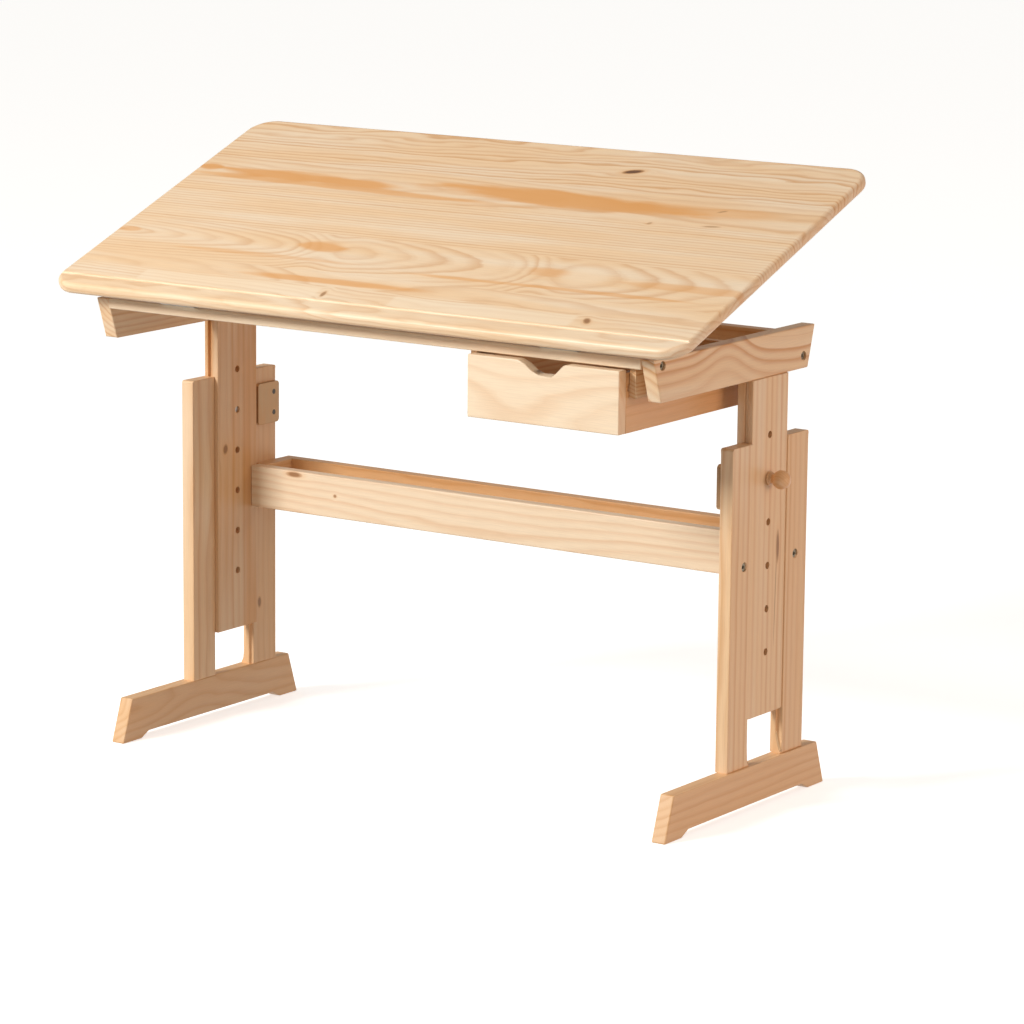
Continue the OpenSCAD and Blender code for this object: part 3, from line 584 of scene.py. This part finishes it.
# node: body, slot, arris in mm, and the settings of its pine
BOARDS = {
    "foot_left": ("lower_frame", "leg_pine", 2.0, dict(
        along="Y", across="Z", seed=1.3, pith=(30, -30), width=11.0, tone=0.6, share=0.8,
        bumps=[(-40, 90, 18)], wave=26)),
    "foot_right": ("lower_frame", "leg_pine", 2.0, dict(
        along="Y", across="Z", seed=5.1, pith=(60, -26), width=11.0, tone=0.6, share=0.75,
        wave=22)),
    "upright_front_left": ("lower_frame", "leg_pine", 1.2, dict(
        along="Z", across="Y", seed=8.2, pith=(22, -12), width=15.0, tone=0.2, share=0.75,
        wave=34)),
    "upright_rear_left": ("lower_frame", "leg_pine", 1.2, dict(
        along="Z", across="Y", seed=2.9, pith=(70, -30), width=12.0, tone=0.55, share=0.4,
        knots=[(-136, -11, 8, 4, 0.0, 0.6)], wave=26)),
    "upright_front_right": ("lower_frame", "leg_pine", 1.2, dict(
        along="Z", across="Y", seed=7.7, pith=(-34, 18), width=13.0, tone=0.25, share=0.7,
        wave=28)),
    "upright_rear_right": ("lower_frame", "leg_pine", 1.2, dict(
        along="Z", across="Y", seed=4.4, pith=(30, 20), width=13.0, tone=0.4, share=0.7,
        wave=28)),
    "end_block_left": ("lower_frame", "frame_pine", 1.2, dict(
        along="Y", across="Z", seed=9.1, pith=(40, 30), width=5.0, tone=0.6)),
    "end_block_right": ("lower_frame", "frame_pine", 1.2, dict(
        along="Y", across="Z", seed=3.2, pith=(40, 30), width=5.0, tone=0.3)),
    # painted light: the pale base colour (PALE) and small late-wood share make this
    # front-facing board paler than the others, standing in for the key light on its front
    # face
    "stretcher_front": ("lower_frame", "frame_pine", 1.8, dict(
        along="X", across="Z", seed=6.6, pith=(-48, -34), width=11.0, share=0.42,
        light=PALE, bumps=[(-20, 260, 20)],
        knots=[(-377, 27, 14, 4, 0.0, 0.6), (-299, 2, 3, 2.5, 0.0, 0.5)])),
    "stretcher_rear": ("lower_frame", "frame_pine", 1.8, dict(
        along="X", across="Z", seed=1.9, pith=(44, 40), width=9.0, tone=0.8, share=0.7)),
    "post_left": ("upper_frame", "leg_pine", 1.2, dict(
        along="Z", across="Y", seed=2.2, pith=(-70, -24), width=12.0, tone=0.4, share=0.7,
        knots=[(40, -30, 7, 5, 0.2, 0.6)], light=HONEY)),
    "post_right": ("upper_frame", "leg_pine", 1.2, dict(
        along="Z", across="Y", seed=6.1, pith=(64, 26), width=13.0, tone=0.15, share=0.7,
        knots=[(-3, 27, 22, 4, 0.0, 0.7), (-70, 23, 70, 1.6, 0.03, 0.28)], wave=24)),
    "side_rail_left": ("upper_frame", "frame_pine", 1.8, dict(
        along="Y", across="Z", seed=3.9, pith=(50, 40), width=8.0, tone=0.2, share=0.75)),
    "side_rail_right": ("upper_frame", "frame_pine", 1.8, dict(
        along="Y", across="Z", seed=7.4, pith=(-76, -46), width=13.0, share=1.0,
        bends=[(-20, 60, -26), (190, 120, 20)], bumps=[(60, 110, 12)])),
    # painted light: the pale base colour (PALE) and small late-wood share make this
    # front-facing rail paler than the others, standing in for the key light on its front
    # edge
    "front_rail": ("upper_frame", "frame_pine", 1.6, dict(
        along="X", across="Y", seed=5.6, pith=(60, -40), width=8.0, share=0.35,
        light=PALE)),
    "rear_rail": ("upper_frame", "frame_pine", 1.6, dict(
        along="X", across="Z", seed=8.8, pith=(-60, 30), width=9.0, tone=0.5, share=0.75)),
    "runner_left": ("upper_frame", "frame_pine", 0.8, dict(
        along="Y", across="Z", seed=1.1, pith=(60, 30), width=5.0)),
    "runner_right": ("upper_frame", "frame_pine", 0.8, dict(
        along="Y", across="Z", seed=4.9, pith=(60, 30), width=5.0)),
    "stay_guide_left": ("upper_frame", "frame_pine", 0.8, dict(
        along="Z", across="Y", seed=2.4, pith=(30, 30), width=4.0)),
    "stay_guide_right": ("upper_frame", "frame_pine", 0.8, dict(
        along="Z", across="Y", seed=9.4, pith=(30, 30), width=4.0)),
    "batten_left": ("top", "frame_pine", 1.0, dict(
        along="Y", across="X", seed=5.9, pith=(60, 40), width=7.0)),
    "batten_right": ("top", "frame_pine", 1.0, dict(
        along="Y", across="X", seed=6.9, pith=(60, 40), width=7.0)),
    # painted light: the pale base colour (PALE) and small late-wood share make the drawer
    # front paler than the others, standing in for the key light on its face
    "drawer_front": ("drawer", "drawer_pine", 1.6, dict(
        along="X", across="Z", seed=3.3, pith=(-30, -70), width=12.0, share=0.32,
        light=PALE, bumps=[(-40, 120, 20)])),
    "drawer_side_left": ("drawer", "drawer_pine", 1.0, dict(
        along="Y", across="Z", seed=8.1, pith=(60, 40), width=7.0, tone=0.3)),
    "drawer_side_right": ("drawer", "drawer_pine", 1.0, dict(
        along="Y", across="Z", seed=1.7, pith=(70, 50), width=11.0, tone=0.8, share=0.6)),
    "drawer_back": ("drawer", "drawer_pine", 1.0, dict(
        along="X", across="Z", seed=7.2, pith=(60, 40), width=8.0, tone=0.3)),
}
UPRIGHT_SHORTEST = 30  # mm; shorter edges of the uprights stay crisp
for node, (body, slot, arris, look) in BOARDS.items():
    wood = pine("pine_of_" + node, node=node, **look)
    if node.startswith("upright"):
        eased(node, arris, body, wood, UPRIGHT_SHORTEST)
    else:
        eased(node, arris, body, wood)

shaped_top(pine_top())
for hand in ("left", "right"):
    plate = "plate_" + hand
    eased(plate, 0.8, "lower_frame", plywood("ply_" + hand, plate, "X"))
dress("drawer_bottom", plywood("drawer_floor_ply", "drawer_bottom", "Z"))
for node in ("foot_dowels", "stretcher_dowels", "post_dowels"):
    dress(node, plywood("beech_of_" + node, node, "Y", BEECH))

zinc = steel("bright_zinc", (0.56, 0.55, 0.53), 0.26, 1.0)
dull = steel("dulled_bolt", (0.30, 0.27, 0.21), 0.42, 3.0)
dark = steel("dark_screw", (0.10, 0.085, 0.07), 0.36, 2.0)
METAL = {
    dull: ("leg_bolts", "rail_bolts"),
    zinc: ("barrel_nuts", "hinge_rail_leaves", "hinge_pins", "hinge_top_leaves",
           "stay_left", "stay_right", "knob_pin_left", "knob_pin_right"),
    dark: ("plate_screws", "hinge_rail_screws", "guide_screws", "hinge_top_screws",
           "stay_screws", "batten_screws"),
}
for finish, nodes in METAL.items():
    for node in nodes:
        dress(node, finish)

for hand, side, seed in (("right", 1, 4.0), ("left", -1, 6.0)):
    node = "knob_" + hand
    turned_knob(node, side, hand + "_knob", turned_pine("turned_" + hand, node, seed))


# ---------------------------------------------------------------- studio

FLOOR_GLOW = 0.6
HORIZON = (-0.3, 0.2)  # where the dimmer light below gives way to the light above
EYE = (3.5831, -4.9304 + FRONT, 1.6018)
YAW, PITCH, ROLL = (math.radians(v) for v in (34.21, 11.06, 0.54))
SENSOR, LENS = 36, 153.776953  # mm


def studio_floor():
    """A pale floor that glows a little, and throws no colour up under the table."""
    bpy.ops.object.select_all(action="DESELECT")
    bpy.ops.mesh.primitive_plane_add(size=80, location=(0, 0, 0))
    obj = bpy.context.object
    obj.name = "studio_floor"
    p = Paint("studio_floor", Roughness=0.9, Emission_Color=(1, 1, 1, 1),
              Emission_Strength=FLOOR_GLOW)
    speck = p.noise(p.x / 400, p.y / 400, 0.5)
    colour = p.blend(speck * 0.1, (0.90, 0.90, 0.90), (0.88, 0.88, 0.875))
    p.feed(p.shader.inputs["Base Color"], colour)
    obj.data.materials.append(p.mat)
    obj.visible_diffuse = False


def room(above, below):
    """Even light all round: one colour from above, a dimmer one from below."""
    world = bpy.data.worlds.new("studio")
    world.use_nodes = True
    sky = Graph(world.node_tree)
    direction = sky.node("ShaderNodeTexCoord").outputs["Generated"]
    share = sky.step(sky.axes(direction)[2], *HORIZON, "LINEAR")
    sky.feed(sky.tree.nodes["Background"].inputs["Color"], sky.blend(share, below, above))
    bpy.context.scene.world = world


def area_light(name, place, aim, size, power, colour):
    data = bpy.data.lights.new(name, "AREA")
    data.shape = "RECTANGLE"
    data.size, data.size_y = size
    data.energy = power
    data.color = colour
    obj = bpy.data.objects.new(name, data)
    bpy.context.scene.collection.objects.link(obj)
    obj.location = place
    obj.rotation_euler = (Vector(aim) - Vector(place)).to_track_quat("-Z", "Y").to_euler()


def camera():
    ahead = Vector((-math.sin(YAW) * math.cos(PITCH), math.cos(YAW) * math.cos(PITCH),
                    -math.sin(PITCH)))
    right = Vector((math.cos(YAW), math.sin(YAW), 0))
    up = right.cross(ahead)
    right, up = (right * math.cos(ROLL) + up * math.sin(ROLL),
                 up * math.cos(ROLL) - right * math.sin(ROLL))
    data = bpy.data.cameras.new("camera")
    data.sensor_width = SENSOR
    data.lens = LENS
    data.clip_end = 200
    obj = bpy.data.objects.new("camera", data)
    bpy.context.scene.collection.objects.link(obj)
    axes = Matrix((right, up, -ahead)).transposed().to_4x4()
    obj.matrix_world = Matrix.Translation(EYE) @ axes
    bpy.context.scene.camera = obj


studio_floor()
area_light("key", place=(-1.9, -4.2, 2.9), aim=(0, 0, 0.55), size=(1.7, 1.3), power=236,
           colour=(1.0, 0.97, 0.93))
area_light("warm_side", place=(4.2, 0.3, 1.0), aim=(0, 0, 0.5), size=(2.0, 1.6), power=46,
           colour=(1.0, 0.66, 0.48))
room(above=(0.41, 0.395, 0.37), below=(0.30, 0.24, 0.175))
bpy.context.scene.view_settings.view_transform = "Standard"
camera()
